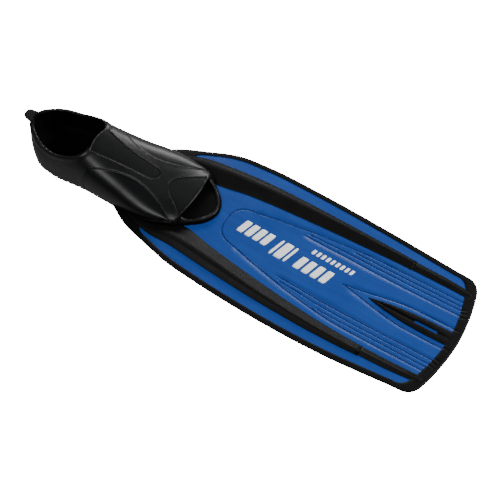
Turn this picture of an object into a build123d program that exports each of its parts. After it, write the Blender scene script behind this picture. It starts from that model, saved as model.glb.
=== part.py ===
from build123d import *
import math
import os

# A full-foot swim fin: rubber foot pocket, stiff blade, rubber rails, edge trims, tip trim and tip rib.
# +X runs from the heel to the tip, +Y to the left side, +Z up through the instep. The fin lies on its
# heel and its tip, and the origin is under the middle of its bounding box. Lengths are in millimetres.

os.makedirs("parts", exist_ok=True)

# ---- driving dimensions ----
wall = 3.2  # rubber wall of the foot pocket
outsole_thickness = 3.0
plate_thickness = 3.5  # stiff plate under the foot, the rear of the blade moulding
footbed_thickness = 3.0
blade_thickness = 3.0
trim_proud = 0.9  # the rubber edge trims stand this far above and below the blade
trim_width = 7.2
tip_trim_width = 12.5
flex_x = 2.0  # the line across the root where the blade bends
flex_gap = 2.3  # clearance on each side of that line
panel_depth = 0.8  # inlaid panels go this deep into the pocket's skin
panel_proud = 0.6  # and stand this far out of it
rim_height = 5.0
rim_proud = 0.9
tread_depth = 1.3
tread_pitch = 10.0
tread_width = 3.2
beyond = 130.0  # half-width of the cutting slabs, wider than any piece

# upper face of the blade, seen from the side, from under the instep to the tip
blade_top = [(-136, 28.0), (-95, 32.0), (-45, 36.3), (0, 33.2), (80, 22.9), (180, 11.4), (280, 5.8), (329, 4.1)]
# lower face of the outsole, from the heel to the root of the blade
sole_line = [(-306, 1.4), (-294, -0.4), (-264, -0.4), (-245, 1.0), (-190, 7.0), (-125, 17.2), (-65, 27.3), (-40, 30.0), (-16, 30.4)]
# edge of the ankle opening, seen from the side
ankle_line = [(-319, 56.5), (-290, 59.5), (-262, 55.5), (-236, 61.5), (-214, 70.5), (-199, 80.8), (-188, 90.0)]

# half of the fin's outline, from the side of the pocket to where the tip corner starts
outer_edge = [(-150, 51.0), (-125, 65.5), (-80, 81.0), (-35, 93.2), (0, 96.8), (80, 99.7), (180, 97.8), (300, 88.6)]
tip_points = [(315.5, 72.5), (323.0, 40.0), (326.6, 0.0)]

# the foot pocket's cross-sections: x, half-width, underside, height of its widest line, top
stations = [
    (-313.0, 6.5, 24.0, 36.0, 60.0),
    (-310.5, 14.5, 14.0, 28.0, 64.0),
    (-305.5, 23.0, 8.5, 20.0, 65.5),
    (-297.0, 32.0, 5.0, 15.5, 67.5),
    (-285.0, 39.0, 3.1, 13.5, 70.5),
    (-262.0, 42.5, 3.2, 14.5, 78.0),
    (-238.0, 43.4, 4.6, 18.0, 88.0),
    (-215.0, 43.6, 6.9, 21.0, 86.0),
    (-199.0, 45.0, 8.9, 22.5, 80.6),
    (-180.0, 47.0, 11.2, 24.5, 73.6),
    (-156.0, 49.6, 14.8, 27.5, 67.2),
    (-125.0, 53.4, 20.2, 31.5, 62.0),
    (-105.0, 54.0, 23.9, 34.5, 59.0),
    (-85.0, 52.0, 27.3, 37.0, 55.8),
    (-65.0, 47.4, 30.4, 39.5, 54.4),
    (-46.0, 41.0, 32.8, 41.0, 54.0),
]
top_roundness = 2.6  # exponent of the section's upper half
sole_roundness = 3.6  # and of its lower half, which is squarer

# a rail's cross-sections: x, inner foot, inner edge of the crest, outer edge of the crest, outer foot,
# height above the blade, depth below it
rail_stations = [
    (-104.0, 50.0, 56.0, 62.0, 64.5, 1.0, 1.0),
    (-80.0, 44.0, 56.0, 63.5, 68.0, 3.0, 3.0),
    (-45.0, 37.4, 57.0, 63.0, 70.5, 5.4, 5.0),
    (0.0, 44.8, 60.5, 66.0, 74.6, 5.8, 5.4),
    (60.0, 52.0, 66.0, 70.5, 77.8, 5.6, 5.0),
    (130.0, 58.2, 70.0, 73.0, 79.0, 5.0, 4.4),
    (200.0, 61.8, 70.8, 73.0, 77.8, 4.2, 3.4),
    (238.0, 62.4, 70.2, 72.4, 76.0, 3.6, 2.8),
]
rail_end_stations = [
    (238.0, 62.8, 68.6, 71.2, 75.4, 2.2, 2.0),
    (280.0, 62.3, 67.6, 70.0, 73.6, 1.9, 1.6),
    (309.0, 61.3, 65.6, 67.6, 70.6, 1.6, 1.2),
]
key_length = 9.0  # the keys that lock a rail through the blade
key_width = 4.0
key_pitch = 36.0


def sole_height(x):
    """Lower face of the outsole, by straight lines between the points of sole_line."""
    for (x0, z0), (x1, z1) in zip(sole_line, sole_line[1:]):
        if x <= x1:
            return z0 + (z1 - z0) * (x - x0) / (x1 - x0)
    return sole_line[-1][1]


def blade_height(x):
    """Upper face of the blade, by straight lines between the points of blade_top."""
    for (x0, z0), (x1, z1) in zip(blade_top, blade_top[1:]):
        if x <= x1:
            return z0 + (z1 - z0) * (x - x0) / (x1 - x0)
    return blade_top[-1][1]


def layer(line, low, high):
    """A curved slab right across the fin, between a side-view line moved by low and by high."""
    with BuildPart() as slab:
        with BuildSketch(Plane.XZ):
            with BuildLine():
                upper = Spline(*[(x, z + high) for x, z in line])
                lower = Spline(*[(x, z + low) for x, z in line])
                Line(upper @ 0, lower @ 0)
                Line(upper @ 1, lower @ 1)
            make_face()
        extrude(amount=beyond, both=True)
    return slab.part


def half_section(half_width, underside, widest, top):
    """The right half of a slipper-shaped section: squarer below its widest line, rounder above."""
    points = []
    steps = 12
    for step in range(steps + 1):
        angle = math.pi * (step / steps - 0.5)
        c, s = max(math.cos(angle), 0.0), math.sin(angle)
        power = 2 / (top_roundness if s > 0 else sole_roundness)
        y = 0.0 if step in (0, steps) else half_width * c**power
        z = widest + (top - widest if s > 0 else widest - underside) * math.copysign(abs(s) ** power, s)
        points.append((y, z))
    return points


def section_loft(sections):
    """A loft through slipper-shaped sections, each given by its place and its half-section's sizes."""
    with BuildPart() as body:
        for x, *sizes in sections:
            with BuildSketch(Plane.YZ.offset(x)):
                with BuildLine():
                    half = Spline(*half_section(*sizes), tangents=[(1, 0), (-1, 0)])
                    mirror(half, about=Plane.YZ)
                make_face()
        loft()
    return body.part


def slipper(grow):
    """The pocket's outer shape, grown by a distance, or shrunk where it is negative."""
    sections = []
    for x, half_width, underside, widest, top in stations:
        shift = -grow if x < -300 else 0
        sections.append((x + shift, half_width + grow, underside - grow, widest, top + grow))
    return section_loft(sections)


def foot_room():
    """The room for the foot: the slipper less its wall, with a floor above the sole plate."""
    floor_above_sole = outsole_thickness + plate_thickness + footbed_thickness
    sections = []
    for x, half_width, underside, widest, top in stations:
        inner_x = x + wall * (1 if x < -300 else 0)
        floor = max(sole_height(x) + floor_above_sole, underside + wall)
        sections.append((inner_x, half_width - wall, floor, max(widest, floor + 4), top - wall))
    front = sections[-1]
    sections.append((front[0] + 12, front[1] - 5, front[2], front[3], front[4]))
    return section_loft(sections)


def prism(points, low=-20.0, high=110.0):
    """An upright prism on a smooth closed outline, symmetric about the fin's middle plane."""
    with BuildPart() as body:
        with BuildSketch(Plane.XY.offset(low)):
            with BuildLine():
                half = Spline(*points)
                mirror(half, about=Plane.XZ)
                for end in (half @ 0, half @ 1):
                    if abs(end.Y) > 0.01:
                        Line((end.X, end.Y), (end.X, -end.Y))
            make_face()
        extrude(amount=high - low)
    return body.part


def block(x0, x1, low=-20.0, high=110.0, width=2 * beyond):
    """A box about the middle plane between two places along the fin."""
    with BuildPart() as body:
        with Locations(((x0 + x1) / 2, 0, (low + high) / 2)):
            Box(x1 - x0, width, high - low)
    return body.part


def fin_outline(inset):
    """An upright prism on the fin's outline, its sides and tip moved inwards by the insets."""
    side_inset, tip_inset = inset
    edge = [(x, y - side_inset) for x, y in outer_edge]
    tip = [(x - tip_inset, y - side_inset * y / tip_points[0][1]) for x, y in tip_points]
    with BuildPart() as body:
        with BuildSketch(Plane.XY.offset(-20)):
            with BuildLine():
                side = Spline(*edge)
                front = Spline(*tip, tangents=[(0.42, -1), (0, -1)])
                corner = Spline(side @ 1, front @ 0, tangents=[side % 1, front % 0])
                mirror(side, about=Plane.XZ)
                mirror(front, about=Plane.XZ)
                mirror(corner, about=Plane.XZ)
                Line((edge[0][0], edge[0][1]), (edge[0][0], -edge[0][1]))
            make_face()
        extrude(amount=130)
    return body.part


def rail_body(sections):
    """The left rail's upper and lower bodies, lofted along the blade and seated on its faces."""
    sink = 1.4
    with BuildPart() as rail:
        for above in (1, -1):
            for x, foot_in, crest_in, crest_out, foot_out, height, depth in sections:
                face = blade_height(x) - (0 if above > 0 else blade_thickness)
                crest = face + (height if above > 0 else -depth)
                foot = face - above * sink
                with BuildSketch(Plane.YZ.offset(x)):
                    with BuildLine():
                        Polyline(
                            (foot_in, foot),
                            (foot_in, face),
                            (crest_in, crest),
                            (crest_out, crest),
                            (foot_out, face),
                            (foot_out, foot),
                            close=True,
                        )
                    make_face()
            loft(ruled=True)
        add(layer(blade_top, -blade_thickness, 0), mode=Mode.SUBTRACT)
    return rail.part


outer_skin = slipper(0)
proud_skin = slipper(panel_proud)
deep_skin = slipper(-panel_depth)
rim_skin = slipper(rim_proud)
room = foot_room()

before_flex = block(-400, flex_x - flex_gap)
after_flex = block(flex_x + flex_gap, 400)
side_end = 296.0  # where the edge trims meet the tip trim
over_ankle = layer(ankle_line, -rim_height, 60)
rim_layer = layer(ankle_line, -rim_height, 0)

# ---- shapes shared by neighbouring pieces ----
ring_outside = [(-16.5, 0), (-19, 10), (-27, 21.5), (-37, 30.5), (-47, 37.5), (-60, 43)]
ring_inside = [(-22.5, 0), (-25, 8.5), (-31.5, 18), (-39, 25.5), (-46, 30), (-62, 31.5)]
plate_edge = [(-301, 0), (-296, 14), (-285, 26), (-262, 33), (-215, 35), (-156, 41), (-105, 46), (-62, 38), (-34, 17), (-24, 0)]
outsole_edge = [(-305, 0), (-300, 19), (-285, 34), (-262, 39), (-215, 39), (-156, 45), (-105, 49.5), (-65, 43), (-38, 27), (-30, 0)]
instep_edge = [(-202, 20.8), (-188, 18), (-170, 14.7), (-145, 11.2), (-118, 9.7), (-109, 7.4), (-105.3, 0)]
toe_panel_edge = [(-90, 0), (-86.5, 9), (-78, 16.5), (-64, 26), (-44, 41)]
side_panel_top = [(-190, 36.5), (-181, 34), (-167, 28.3), (-154, 23.8), (-128, 20.5), (-113, 22), (-86, 31.5), (-60, 46)]
side_panel_bottom = [(-215, 52), (-190, 38), (-150, 31), (-110, 32.5), (-75, 38), (-50, 46)]

# everything in front of the toe opening's upper lip
with BuildPart() as ahead_of_toes:
    with BuildSketch(Plane.XY.offset(-20)):
        with BuildLine():
            ThreePointArc((-54, 43), (-47.5, 0), (-54, -43))
            Polyline((-54, -43), (-54, -beyond), (60, -beyond), (60, beyond), (-54, beyond), (-54, 43))
        make_face()
    extrude(amount=130)

# the plan shape of the left side panel, open outwards
with BuildPart() as side_panel_plan:
    with BuildSketch(Plane.XY.offset(-20)):
        with BuildLine():
            crease = Spline(*side_panel_top)
            Polyline(crease @ 1, (-60, beyond), (-190, beyond), crease @ 0)
        make_face()
    extrude(amount=130)


def inlay(outline_body):
    """A skin-deep inlay on the pocket, standing a little proud of it."""
    with BuildPart() as piece:
        add(proud_skin)
        add(deep_skin, mode=Mode.SUBTRACT)
        add(outline_body, mode=Mode.INTERSECT)
    return piece.part


def key_places(sections, first, last):
    """The centres of the keys along a rail, in plan."""
    places = []
    count = int((last - first) / key_pitch) + 1
    for number in range(count):
        x = first + number * key_pitch
        for a, b in zip(sections, sections[1:]):
            if a[0] <= x <= b[0]:
                share = (x - a[0]) / (b[0] - a[0])
                inner = a[1] + (b[1] - a[1]) * share
                outer = a[4] + (b[4] - a[4]) * share
                places.append((x, (inner + outer) / 2))
    return places


def keys(places, side):
    """The rubber keys that join a rail's upper and lower bodies through the blade."""
    bite = 0.6
    with BuildPart() as pegs:
        for x, y in places:
            with Locations((x, side * y, blade_height(x))):
                Box(key_length, key_width, 30)
        add(layer(blade_top, -blade_thickness - bite, bite), mode=Mode.INTERSECT)
    return pegs.part


root_keys = key_places(rail_stations, -58, -10)
blade_keys = key_places(rail_stations, 24, 236)
end_keys = key_places(rail_end_stations, 262, 309)
rib_keys = [(243.0, 0.0), (304.0, 0.0)]
blade_layer = layer(blade_top, -blade_thickness, 0)
trim_layer = layer(blade_top, -blade_thickness - trim_proud, trim_proud)
whole_outline = fin_outline((0, 0))
inner_outline = fin_outline((trim_width, tip_trim_width))

# ---- stiff blade ----
with BuildPart() as blade_root:
    add(blade_layer)
    add(inner_outline, mode=Mode.INTERSECT)
    add(before_flex, mode=Mode.INTERSECT)
    add(outer_skin, mode=Mode.SUBTRACT)
    sole_plate = layer(sole_line, outsole_thickness, outsole_thickness + plate_thickness)
    add(sole_plate & prism(plate_edge))
    for side in (1, -1):
        add(keys(root_keys, side), mode=Mode.SUBTRACT)
blade_root.part.label = "blade_root"
export_step(blade_root.part, "parts/blade_root.step")

with BuildPart() as blade:
    add(blade_layer)
    add(inner_outline, mode=Mode.INTERSECT)
    add(after_flex, mode=Mode.INTERSECT)
    for side in (1, -1):
        add(keys(blade_keys + end_keys, side), mode=Mode.SUBTRACT)
    add(keys(rib_keys, 1), mode=Mode.SUBTRACT)
blade.part.label = "blade"
export_step(blade.part, "parts/blade.step")

# ---- foot pocket ----
with BuildPart() as instep_panel:
    add(inlay(prism(instep_edge)))
    add(over_ankle, mode=Mode.SUBTRACT)
    add(block(-400, -60, -20, 45), mode=Mode.SUBTRACT)
instep_panel.part.label = "instep_panel"
export_step(instep_panel.part, "parts/instep_panel.step")

with BuildPart() as toe_panel:
    add(inlay(prism(toe_panel_edge)))
    add(ahead_of_toes.part, mode=Mode.SUBTRACT)
    add(block(-400, 0, -20, 41), mode=Mode.SUBTRACT)
toe_panel.part.label = "toe_panel"
export_step(toe_panel.part, "parts/toe_panel.step")

with BuildPart() as left_side_panel:
    add(inlay(side_panel_plan.part))
    add(layer(side_panel_bottom, -80, 0), mode=Mode.SUBTRACT)
left_side_panel.part.label = "left_side_panel"
export_step(left_side_panel.part, "parts/left_side_panel.step")

with BuildPart() as right_side_panel:
    mirror(left_side_panel.part, about=Plane.XZ)
right_side_panel.part.label = "right_side_panel"
export_step(right_side_panel.part, "parts/right_side_panel.step")

with BuildPart() as foot_pocket:
    add(outer_skin)
    add(room, mode=Mode.SUBTRACT)
    add(over_ankle, mode=Mode.SUBTRACT)
    add(ahead_of_toes.part, mode=Mode.SUBTRACT)
    plate_top = outsole_thickness + plate_thickness
    toe_shelf = layer(sole_line, plate_top, plate_top + footbed_thickness) & prism(ring_inside) & block(-75, 0)
    add(toe_shelf)
    add(layer(sole_line, -20, outsole_thickness), mode=Mode.SUBTRACT)
    add(blade_root.part, mode=Mode.SUBTRACT)
    add(instep_panel.part, mode=Mode.SUBTRACT)
    add(toe_panel.part, mode=Mode.SUBTRACT)
    add(left_side_panel.part, mode=Mode.SUBTRACT)
    add(right_side_panel.part, mode=Mode.SUBTRACT)
foot_pocket.part.label = "foot_pocket"
export_step(foot_pocket.part, "parts/foot_pocket.step")

with BuildPart() as ankle_rim:
    add(rim_skin & rim_layer)
    add(room, mode=Mode.SUBTRACT)
ankle_rim.part.label = "ankle_rim"
export_step(ankle_rim.part, "parts/ankle_rim.step")

tab_edge = [(-326.5, 0), (-325.9, 4.6), (-322.6, 7.4), (-316, 9.0), (-309, 10.6), (-300, 12)]
tab_line = [(-330, 61.2), (-318, 60.6), (-308, 58.4), (-298, 57.0)]
tab_thickness = 4.5
with BuildPart() as heel_tab:
    add(layer(tab_line, -tab_thickness, 0))
    add(prism(tab_edge), mode=Mode.INTERSECT)
    add(rim_skin, mode=Mode.SUBTRACT)
    add(room, mode=Mode.SUBTRACT)
heel_tab.part.label = "heel_tab"
export_step(heel_tab.part, "parts/heel_tab.step")

ring_top = 43.4
with BuildPart() as toe_ring:
    add(prism(ring_outside, 20, ring_top))
    add(prism(ring_inside, 20, ring_top), mode=Mode.SUBTRACT)
    add(layer(blade_top, -60, 0), mode=Mode.SUBTRACT)
    add(outer_skin, mode=Mode.SUBTRACT)
    add(blade_root.part, mode=Mode.SUBTRACT)
toe_ring.part.label = "toe_ring"
export_step(toe_ring.part, "parts/toe_ring.step")

with BuildPart() as outsole:
    add(layer(sole_line, 0, outsole_thickness) & prism(outsole_edge))
    add(blade_root.part, mode=Mode.SUBTRACT)
    add(foot_pocket.part, mode=Mode.SUBTRACT)
    add(block(-400, 0, -20, 0), mode=Mode.SUBTRACT)
    groove_count = int(250 / tread_pitch)
    for number in range(groove_count):
        x = -290 + number * tread_pitch
        with Locations((x, 0, sole_height(x))):
            Box(tread_width, 2 * beyond, 2 * tread_depth, mode=Mode.SUBTRACT)
outsole.part.label = "outsole"
export_step(outsole.part, "parts/outsole.step")

# ---- rubber rails, trims and the tip rib ----
with BuildPart() as left_rail_root:
    add(rail_body(rail_stations))
    add(keys(root_keys, 1))
    add(before_flex, mode=Mode.INTERSECT)
    add(outer_skin, mode=Mode.SUBTRACT)
    add(outsole.part, mode=Mode.SUBTRACT)
    add(toe_ring.part, mode=Mode.SUBTRACT)
left_rail_root.part.label = "left_rail_root"
export_step(left_rail_root.part, "parts/left_rail_root.step")

with BuildPart() as right_rail_root:
    mirror(left_rail_root.part, about=Plane.XZ)
right_rail_root.part.label = "right_rail_root"
export_step(right_rail_root.part, "parts/right_rail_root.step")

with BuildPart() as left_rail:
    add(rail_body(rail_stations))
    add(rail_body(rail_end_stations))
    add(keys(blade_keys + end_keys, 1))
    add(after_flex, mode=Mode.INTERSECT)
left_rail.part.label = "left_rail"
export_step(left_rail.part, "parts/left_rail.step")

with BuildPart() as right_rail:
    mirror(left_rail.part, about=Plane.XZ)
right_rail.part.label = "right_rail"
export_step(right_rail.part, "parts/right_rail.step")

with BuildPart() as trim_frame:
    add(trim_layer)
    add(whole_outline, mode=Mode.INTERSECT)
    add(inner_outline, mode=Mode.SUBTRACT)
    add(outer_skin, mode=Mode.SUBTRACT)
with BuildPart() as left_side_only:
    with Locations((0, beyond / 2, 40)):
        Box(900, beyond - 20, 200)

with BuildPart() as left_trim_root:
    add(trim_frame.part & before_flex & left_side_only.part)
left_trim_root.part.label = "left_trim_root"
export_step(left_trim_root.part, "parts/left_trim_root.step")

with BuildPart() as right_trim_root:
    mirror(left_trim_root.part, about=Plane.XZ)
right_trim_root.part.label = "right_trim_root"
export_step(right_trim_root.part, "parts/right_trim_root.step")

with BuildPart() as left_edge_trim:
    add(trim_frame.part & block(flex_x + flex_gap, side_end) & left_side_only.part)
left_edge_trim.part.label = "left_edge_trim"
export_step(left_edge_trim.part, "parts/left_edge_trim.step")

with BuildPart() as right_edge_trim:
    mirror(left_edge_trim.part, about=Plane.XZ)
right_edge_trim.part.label = "right_edge_trim"
export_step(right_edge_trim.part, "parts/right_edge_trim.step")

with BuildPart() as tip_trim:
    add(trim_frame.part & block(side_end, 400))
    add(left_rail.part, mode=Mode.SUBTRACT)
    add(right_rail.part, mode=Mode.SUBTRACT)
tip_trim.part.label = "tip_trim"
export_step(tip_trim.part, "parts/tip_trim.step")

rib_edge = [(205, 0), (214, 2.6), (232, 5.9), (256, 8.6), (284, 9.9), (312, 9.9)]
rib_height = 2.4
rib_depth = 1.0
with BuildPart() as centre_rib:
    add(layer(blade_top, 0, rib_height) & prism(rib_edge))
    add(layer(blade_top, -blade_thickness - rib_depth, -blade_thickness) & prism(rib_edge))
    add(keys(rib_keys, 1))
    for x0, x1, width, floor in ((222, 311, 3.0, 1.0), (267, 298, 4.2, 0.0)):
        slot = layer(blade_top, floor, 20) & block(x0, x1, width=width)
        add(slot, mode=Mode.SUBTRACT)
    add(tip_trim.part, mode=Mode.SUBTRACT)
centre_rib.part.label = "centre_rib"
export_step(centre_rib.part, "parts/centre_rib.step")
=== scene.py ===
import math

import bpy
import numpy as np
from mathutils import Matrix, Vector


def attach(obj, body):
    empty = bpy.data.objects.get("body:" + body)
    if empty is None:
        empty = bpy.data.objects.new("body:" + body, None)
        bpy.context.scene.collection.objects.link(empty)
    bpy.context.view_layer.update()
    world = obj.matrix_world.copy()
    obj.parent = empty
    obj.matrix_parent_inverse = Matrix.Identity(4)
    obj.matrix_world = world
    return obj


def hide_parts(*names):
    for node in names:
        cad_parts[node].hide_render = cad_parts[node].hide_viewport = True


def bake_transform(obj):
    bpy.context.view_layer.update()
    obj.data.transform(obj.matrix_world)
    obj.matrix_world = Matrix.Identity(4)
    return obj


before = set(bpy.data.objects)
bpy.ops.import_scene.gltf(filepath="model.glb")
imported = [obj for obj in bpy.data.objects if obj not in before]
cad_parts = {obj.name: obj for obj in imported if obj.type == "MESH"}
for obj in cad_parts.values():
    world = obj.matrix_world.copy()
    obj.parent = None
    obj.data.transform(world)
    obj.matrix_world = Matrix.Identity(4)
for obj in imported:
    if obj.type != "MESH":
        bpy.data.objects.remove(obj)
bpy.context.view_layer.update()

mm = 0.001


# small helpers

def pickOnly(*objects):
    if bpy.context.object and bpy.context.object.mode != "OBJECT":
        bpy.ops.object.mode_set(mode="OBJECT")
    bpy.ops.object.select_all(action="DESELECT")
    for item in objects:
        item.select_set(True)
    bpy.context.view_layer.objects.active = objects[0]


def applyModifier(piece, kind, **values):
    pickOnly(piece)
    modifier = piece.modifiers.new(kind.lower(), kind)
    for key, value in values.items():
        setattr(modifier, key, value)
    bpy.ops.object.modifier_apply(modifier=modifier.name)


def smoothLine(points, steady=False):
    # a smooth curve through the points, y for x, held at its ends; a steady one never swings past a point
    xs, ys = (np.array(column, float) for column in zip(*points))
    slopes = np.gradient(ys, xs)
    if steady:
        rise = np.diff(ys) / np.diff(xs)
        before, after = rise[:-1], rise[1:]
        middle = np.where(before * after > 0, 2 * before * after / (before + after + 1e-12), 0)
        slopes = np.concatenate([rise[:1], middle, rise[-1:]])

    def at(x):
        x = np.clip(np.asarray(x, float), xs[0], xs[-1])
        i = np.clip(np.searchsorted(xs, x) - 1, 0, len(xs) - 2)
        gap = xs[i + 1] - xs[i]
        t = (x - xs[i]) / gap
        return (
            (2 * t**3 - 3 * t**2 + 1) * ys[i]
            + (t**3 - 2 * t**2 + t) * gap * slopes[i]
            + (3 * t**2 - 2 * t**3) * ys[i + 1]
            + (t**3 - t**2) * gap * slopes[i + 1]
        )

    return at


def smoothPath(points, steps):
    # the same through points in a plane, with so many steps between neighbours
    index = range(len(points))
    lines = [smoothLine(list(zip(index, column))) for column in zip(*points)]
    t = np.linspace(0, len(points) - 1, (len(points) - 1) * steps + 1)
    return np.stack([line(t) for line in lines], axis=1)


def fade(value):
    value = np.clip(value, 0, 1)
    return value * value * (3 - 2 * value)


def distanceTo(path, x, y):
    # distance from each place to a line of points
    best = np.full(np.shape(x), 1e9)
    for (x0, y0), (x1, y1) in zip(path, path[1:]):
        dx, dy = x1 - x0, y1 - y0
        t = np.clip(((x - x0) * dx + (y - y0) * dy) / (dx * dx + dy * dy + 1e-12), 0, 1)
        best = np.minimum(best, np.hypot(x - x0 - t * dx, y - y0 - t * dy))
    return best


def insideOf(path, x, y):
    # whether each place lies inside a closed line of points
    inside = np.zeros(np.shape(x), bool)
    for (x0, y0), (x1, y1) in zip(path, np.roll(path, -1, axis=0)):
        crosses = (y0 > y) != (y1 > y)
        inside ^= crosses & (x < (x1 - x0) * (y - y0) / (y1 - y0 + 1e-12) + x0)
    return inside


def shapedGrid(name, place, closed=True, smoothAngle=40):
    # a grid bent into shape: place holds rows of points in mm, and points that meet are merged
    # a closed one also has its open ends capped
    rows, columns = place.shape[:2]
    bpy.ops.object.select_all(action="DESELECT")
    bpy.ops.mesh.primitive_grid_add(x_subdivisions=columns - 1, y_subdivisions=rows - 1, size=1)
    piece = bpy.context.object
    piece.name = name
    piece.data.name = name
    points = np.empty(len(piece.data.vertices) * 3)
    piece.data.vertices.foreach_get("co", points)
    points = points.reshape(-1, 3)
    order = np.lexsort((np.round(points[:, 0], 5), np.round(points[:, 1], 5)))
    points[order] = place.reshape(-1, 3) * mm
    piece.data.vertices.foreach_set("co", points.ravel())
    bpy.ops.object.mode_set(mode="EDIT")
    bpy.ops.mesh.select_all(action="SELECT")
    bpy.ops.mesh.remove_doubles(threshold=0.000005)
    if closed:
        bpy.ops.mesh.select_all(action="SELECT")
        bpy.ops.mesh.fill_holes(sides=0)
        bpy.ops.mesh.select_all(action="SELECT")
        bpy.ops.mesh.normals_make_consistent(inside=False)
    bpy.ops.object.mode_set(mode="OBJECT")
    bpy.ops.object.shade_smooth_by_angle(angle=math.radians(smoothAngle))
    return piece


def joined(name, *pieces):
    pickOnly(*pieces)
    if len(pieces) > 1:
        bpy.ops.object.join()
    piece = bpy.context.object
    piece.name = name
    piece.data.name = name
    return piece


def mirrored(place):
    # the same rows on the right side
    return place * np.array([1, -1, 1])


# finishes

def fromSrgb(red, green, blue):
    return tuple(
        ((c / 255 + 0.055) / 1.055) ** 2.4 if c > 10 else c / 255 / 12.92
        for c in (red, green, blue)
    ) + (1.0,)


def nodeGroup(name, inputs, outputs):
    group = bpy.data.node_groups.new(name, "ShaderNodeTree")
    for label, kind, value in inputs:
        group.interface.new_socket(label, in_out="INPUT", socket_type=kind).default_value = value
    for label, kind in outputs:
        group.interface.new_socket(label, in_out="OUTPUT", socket_type=kind)
    return group, group.nodes.new("NodeGroupInput"), group.nodes.new("NodeGroupOutput")


def addNode(tree, kind, inputs=None, **values):
    node = tree.nodes.new(kind)
    for key, value in values.items():
        setattr(node, key, value)
    for key, value in (inputs or {}).items():
        if isinstance(value, bpy.types.NodeSocket):
            tree.links.new(value, node.inputs[key])
        else:
            node.inputs[key].default_value = value
    return node


def mouldedGrain():
    # the fine texture of a spark-eroded mould, over slow swells
    group, entry, leave = nodeGroup(
        "mouldedGrain",
        [("Scale", "NodeSocketFloat", 1400.0), ("Coarse", "NodeSocketFloat", 0.3)],
        [("Height", "NodeSocketFloat")],
    )
    place = addNode(group, "ShaderNodeTexCoord")
    fine = addNode(
        group, "ShaderNodeTexNoise",
        {
            "Vector": place.outputs["Object"], "Scale": entry.outputs["Scale"], "Detail": 3.0,
            "Roughness": 0.6,
        },
    )
    pebbles = addNode(
        group, "ShaderNodeTexVoronoi", {"Vector": place.outputs["Object"], "Scale": entry.outputs["Scale"]},
        feature="SMOOTH_F1",
    )
    coarse = addNode(
        group, "ShaderNodeTexNoise", {"Vector": place.outputs["Object"], "Scale": 60.0, "Detail": 2.0},
    )
    mixed = addNode(
        group, "ShaderNodeMath", {0: fine.outputs["Fac"], 1: pebbles.outputs["Distance"]},
        operation="SUBTRACT",
    )
    lift = addNode(
        group, "ShaderNodeMath",
        {0: coarse.outputs["Fac"], 1: entry.outputs["Coarse"], 2: mixed.outputs[0]},
        operation="MULTIPLY_ADD",
    )
    group.links.new(lift.outputs[0], leave.inputs["Height"])
    return group


def handlingMarks():
    # colour and roughness that wander a little at random: rub marks, bloom on rubber, dust
    group, entry, leave = nodeGroup(
        "handlingMarks",
        [
            ("Color", "NodeSocketColor", (0.1, 0.1, 0.1, 1)),
            ("Worn Color", "NodeSocketColor", (0.2, 0.2, 0.2, 1)),
            ("Amount", "NodeSocketFloat", 0.3),
            ("Scale", "NodeSocketFloat", 25.0),
            ("Roughness", "NodeSocketFloat", 0.4),
            ("Worn Roughness", "NodeSocketFloat", 0.6),
        ],
        [("Color", "NodeSocketColor"), ("Roughness", "NodeSocketFloat")],
    )
    place = addNode(group, "ShaderNodeTexCoord")
    cloud = addNode(
        group, "ShaderNodeTexNoise",
        {
            "Vector": place.outputs["Object"], "Scale": entry.outputs["Scale"], "Detail": 6.0,
            "Roughness": 0.62,
        },
    )
    spread = addNode(
        group, "ShaderNodeMapRange", {"Value": cloud.outputs["Fac"], "From Min": 0.36, "From Max": 0.7},
    )
    share = addNode(
        group, "ShaderNodeMath", {0: spread.outputs["Result"], 1: entry.outputs["Amount"]},
        operation="MULTIPLY",
    )
    tint = addNode(group, "ShaderNodeMix", {"Factor": share.outputs[0]}, data_type="RGBA")
    group.links.new(entry.outputs["Color"], tint.inputs[6])
    group.links.new(entry.outputs["Worn Color"], tint.inputs[7])
    rough = addNode(group, "ShaderNodeMix", {"Factor": share.outputs[0]}, data_type="FLOAT")
    group.links.new(entry.outputs["Roughness"], rough.inputs[2])
    group.links.new(entry.outputs["Worn Roughness"], rough.inputs[3])
    group.links.new(tint.outputs[2], leave.inputs["Color"])
    group.links.new(rough.outputs[0], leave.inputs["Roughness"])
    return group


def flowLines():
    # faint streaks along the fin, left by the plastic as it filled the mould
    group, entry, leave = nodeGroup(
        "flowLines", [("Along", "NodeSocketFloat", 7.0), ("Across", "NodeSocketFloat", 150.0)],
        [("Mask", "NodeSocketFloat")],
    )
    place = addNode(group, "ShaderNodeTexCoord")
    size = addNode(
        group, "ShaderNodeCombineXYZ",
        {"X": entry.outputs["Along"], "Y": entry.outputs["Across"], "Z": entry.outputs["Across"]},
    )
    stretch = addNode(
        group, "ShaderNodeVectorMath", {0: place.outputs["Object"], 1: size.outputs[0]},
        operation="MULTIPLY",
    )
    streaks = addNode(
        group, "ShaderNodeTexNoise",
        {"Vector": stretch.outputs[0], "Scale": 1.0, "Detail": 4.0, "Roughness": 0.55},
    )
    group.links.new(streaks.outputs["Fac"], leave.inputs["Mask"])
    return group


grainGroup, marksGroup, flowGroup = mouldedGrain(), handlingMarks(), flowLines()

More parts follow.
